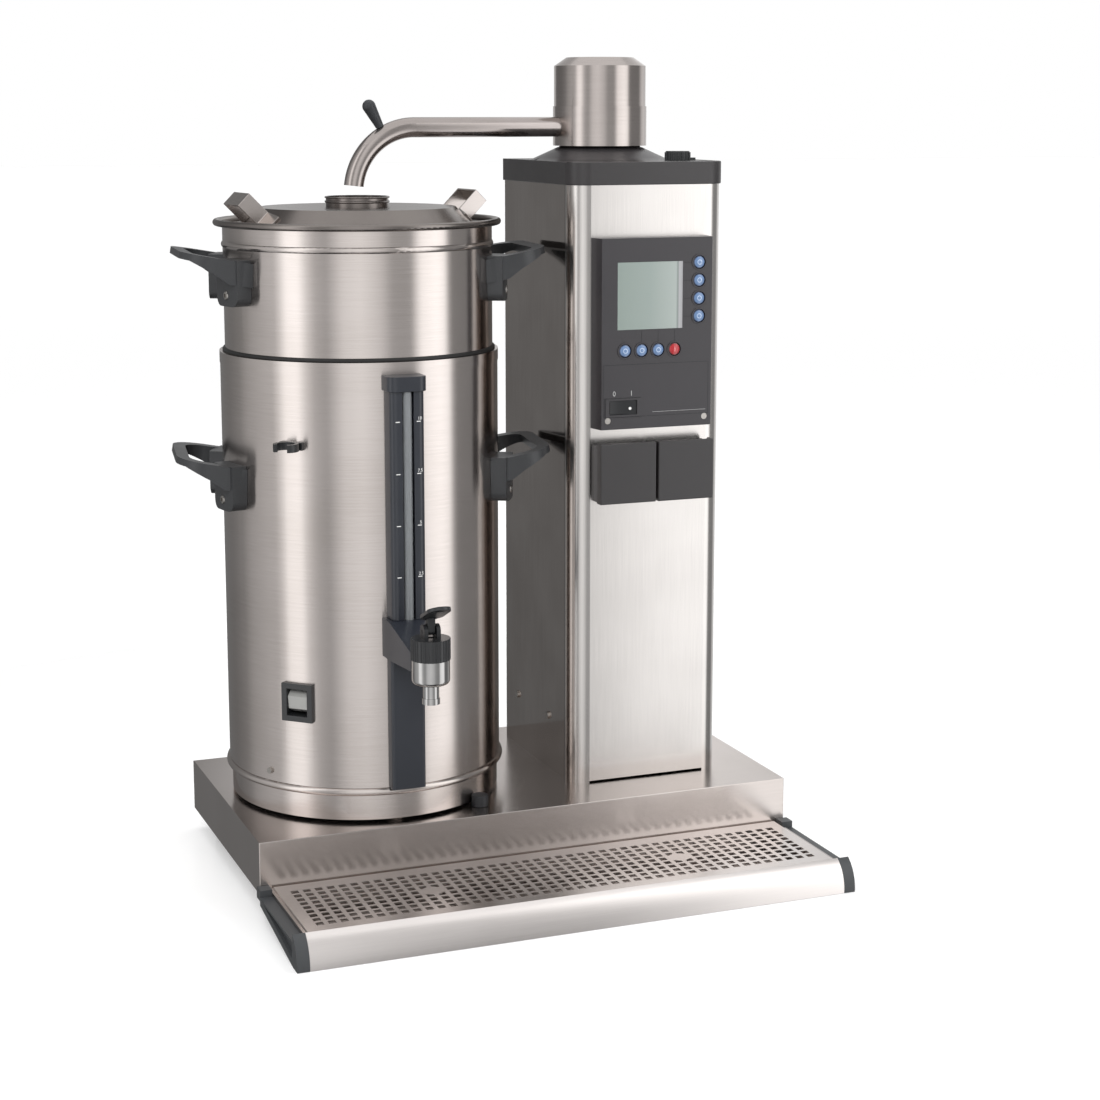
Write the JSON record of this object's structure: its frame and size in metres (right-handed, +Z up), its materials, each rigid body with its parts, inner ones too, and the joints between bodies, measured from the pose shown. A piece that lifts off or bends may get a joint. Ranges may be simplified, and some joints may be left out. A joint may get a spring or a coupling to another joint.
{
  "type": "coffee urn on brewer",
  "caption": "Lift-off insulated coffee urn with filter basket, lid, sight gauge and tap, beside a water-heating column with a swivel pouring arm, on a base with a drip tray.",
  "frame": {"origin": "centre of the whole part's footprint, on the surface it stands on", "axes": "+X to the right of someone facing the tap, -Y is the front with the tap and the drip tray, +Z up"},
  "size_m": [0.6356, 0.481, 0.8586],
  "materials": {
    "base_steel": "brushed stainless, warm grey",
    "plate_steel": "plain",
    "rubber_foot": "matt black",
    "post_plastic": "matt blue-black",
    "column_front": "fine brushed, bright",
    "column_side": "fine brushed, dark reflections",
    "screw_steel": "bright zinc",
    "cap_plastic": "fine grained, dark grey",
    "panel_plastic": "fine grained, dark grey",
    "cover_plastic": "fine grained, dark grey",
    "display_glass": "pale grey-green display",
    "button_blue": "domed, blue",
    "button_red": "domed, red",
    "rocker_black": "black",
    "rocker_clear": "pale, translucent look",
    "tank_steel": "plain",
    "copper_pipe": "copper",
    "valve_brass": "cast and turned",
    "board": "green circuit board",
    "gland_plastic": "black",
    "head_steel": "brushed round the axis",
    "arm_steel": "brushed along the tube",
    "grip_plastic": "black",
    "plug_plastic": "blue-black",
    "urn_steel": "brushed upright, warm",
    "vessel_steel": "smooth inside",
    "heater_metal": "cast ring",
    "handle_plastic": "glass-filled, dark grey",
    "gauge_plastic": "blue-black",
    "gauge_glass": "clear tube",
    "tap_plastic": "black",
    "tap_chrome": "bright chrome",
    "tray_steel": "brushed",
    "tray_bright": "bright polished profile",
    "tray_plastic": "dark grey"
  },
  "bodies": {
    "machine": {"base_cabinet": "base_steel", "base_plate": "plate_steel", "feet": "rubber_foot", "locating_posts": "post_plastic", "column_front_panel": "column_front", "column_rear_cover": "column_side", "machine_screws": "screw_steel", "top_cap": "cap_plastic", "panel_housing": "panel_plastic", "display_window": "display_glass", "service_cover": "cover_plastic", "socket_box": "cover_plastic", "boiler_tank": "tank_steel", "inlet_valve": "valve_brass", "water_pipes": "copper_pipe", "control_board": "board", "mains_gland": "gland_plastic"},
    "swivel": {"head_body": "head_steel", "head_cap": "head_steel", "swivel_spindle": "valve_brass", "arm_pipe": "arm_steel", "arm_grip": "grip_plastic"},
    "filler_plug": {"filler_plug": "plug_plastic"},
    "button_1": {"button_1": "button_blue"},
    "button_2": {"button_2": "button_blue"},
    "button_3": {"button_3": "button_blue"},
    "button_4": {"button_4": "button_blue"},
    "button_5": {"button_5": "button_blue"},
    "button_6": {"button_6": "button_blue"},
    "button_7": {"button_7": "button_blue"},
    "button_8": {"button_8": "button_red"},
    "power_rocker": {"power_rocker": "rocker_black"},
    "flap_left": {"socket_flap_left": "panel_plastic"},
    "flap_right": {"socket_flap_right": "panel_plastic"},
    "urn": {"urn_outer_shell": "urn_steel", "urn_skirt": "urn_steel", "urn_inner_vessel": "vessel_steel", "urn_heater": "heater_metal", "urn_handles": "handle_plastic", "urn_screws": "screw_steel", "gauge_channel": "gauge_plastic", "gauge_tube": "gauge_glass", "tap_mount": "tap_plastic", "tap_body": "tap_chrome", "tap_bonnet": "tap_plastic", "urn_switch_frame": "tap_plastic", "urn_clip": "tap_plastic", "urn_inlet": "tap_plastic"},
    "tap_lever": {"tap_lever": "tap_plastic"},
    "tap_stem": {"tap_stem": "vessel_steel"},
    "urn_rocker": {"urn_switch_rocker": "rocker_clear"},
    "basket": {"basket_drum": "urn_steel", "basket_handles": "handle_plastic", "filter_insert": "vessel_steel"},
    "lid": {"lid_dish": "urn_steel", "lid_grips": "urn_steel"},
    "tray": {"tray_basin": "tray_steel", "tray_front_profile": "tray_bright", "tray_end_caps": "tray_plastic"},
    "grid": {"drip_grid": "tray_steel"}
  },
  "joints": [
    {"name": "swivel_turn", "type": "hinge", "parent": "machine", "child": "swivel", "pos_m": [0.16331, 0.0851, 0.7644], "axis": [0, 0, 1], "range_deg": [-15, 110]},
    {"name": "filler_plug_lift", "type": "slide", "parent": "machine", "child": "filler_plug", "axis": [0, 0, 1], "range_m": [0, 0.015]},
    {"name": "button_1_press", "type": "slide", "parent": "machine", "child": "button_1", "axis": [0, 1, 0], "range_m": [0, 0.0012], "stiffness_N_per_m": 400, "springref_m": -0.0003},
    {"name": "button_2_press", "type": "slide", "parent": "machine", "child": "button_2", "axis": [0, 1, 0], "range_m": [0, 0.0012], "stiffness_N_per_m": 400, "springref_m": -0.0003},
    {"name": "button_3_press", "type": "slide", "parent": "machine", "child": "button_3", "axis": [0, 1, 0], "range_m": [0, 0.0012], "stiffness_N_per_m": 400, "springref_m": -0.0003},
    {"name": "button_4_press", "type": "slide", "parent": "machine", "child": "button_4", "axis": [0, 1, 0], "range_m": [0, 0.0012], "stiffness_N_per_m": 400, "springref_m": -0.0003},
    {"name": "button_5_press", "type": "slide", "parent": "machine", "child": "button_5", "axis": [0, 1, 0], "range_m": [0, 0.0012], "stiffness_N_per_m": 400, "springref_m": -0.0003},
    {"name": "button_6_press", "type": "slide", "parent": "machine", "child": "button_6", "axis": [0, 1, 0], "range_m": [0, 0.0012], "stiffness_N_per_m": 400, "springref_m": -0.0003},
    {"name": "button_7_press", "type": "slide", "parent": "machine", "child": "button_7", "axis": [0, 1, 0], "range_m": [0, 0.0012], "stiffness_N_per_m": 400, "springref_m": -0.0003},
    {"name": "button_8_press", "type": "slide", "parent": "machine", "child": "button_8", "axis": [0, 1, 0], "range_m": [0, 0.0012], "stiffness_N_per_m": 400, "springref_m": -0.0003},
    {"name": "power_rocker_tilt", "type": "hinge", "parent": "machine", "child": "power_rocker", "pos_m": [0.13751, -0.0389, 0.49265], "axis": [0, 0, 1], "range_deg": [0, 12]},
    {"name": "flap_left_lift", "type": "hinge", "parent": "machine", "child": "flap_left", "pos_m": [0.14271, -0.0349, 0.4506], "axis": [-1, 0, 0], "range_deg": [0, 95]},
    {"name": "flap_right_lift", "type": "hinge", "parent": "machine", "child": "flap_right", "pos_m": [0.20971, -0.0349, 0.4506], "axis": [-1, 0, 0], "range_deg": [0, 95]},
    {"name": "urn_lift", "type": "slide", "parent": "machine", "child": "urn", "axis": [0, 0, 1], "range_m": [0, 0.04]},
    {"name": "basket_lift", "type": "slide", "parent": "urn", "child": "basket", "axis": [0, 0, 1], "range_m": [0, 0.04]},
    {"name": "lid_lift", "type": "slide", "parent": "basket", "child": "lid", "axis": [0, 0, 1], "range_m": [0, 0.04]},
    {"name": "tap_lever_press", "type": "hinge", "parent": "urn", "child": "tap_lever", "pos_m": [-0.11669, -0.1575, 0.299], "axis": [1, 0, 0], "range_deg": [0, 40], "stiffness_Nm_per_rad": 0.12, "springref_deg": -11.46},
    {"name": "tap_stem_lift", "type": "slide", "parent": "urn", "child": "tap_stem", "axis": [0, 0, 1], "range_m": [0, 0.0039]},
    {"name": "urn_rocker_tilt", "type": "hinge", "parent": "urn", "child": "urn_rocker", "pos_m": [-0.21658, -0.03094, 0.2049], "axis": [-0.7193, 0.6947, 0], "range_deg": [0, 12]},
    {"name": "tray_pull", "type": "slide", "parent": "machine", "child": "tray", "axis": [0, -1, 0], "range_m": [0, 0.06]},
    {"name": "grid_lift", "type": "slide", "parent": "tray", "child": "grid", "axis": [0, 0, 1], "range_m": [0, 0.04]}
  ],
  "couplings": [
    {"joint": "tap_lever_press", "follows": "tap_stem_lift", "rad_per_m": 174.5}
  ]
}
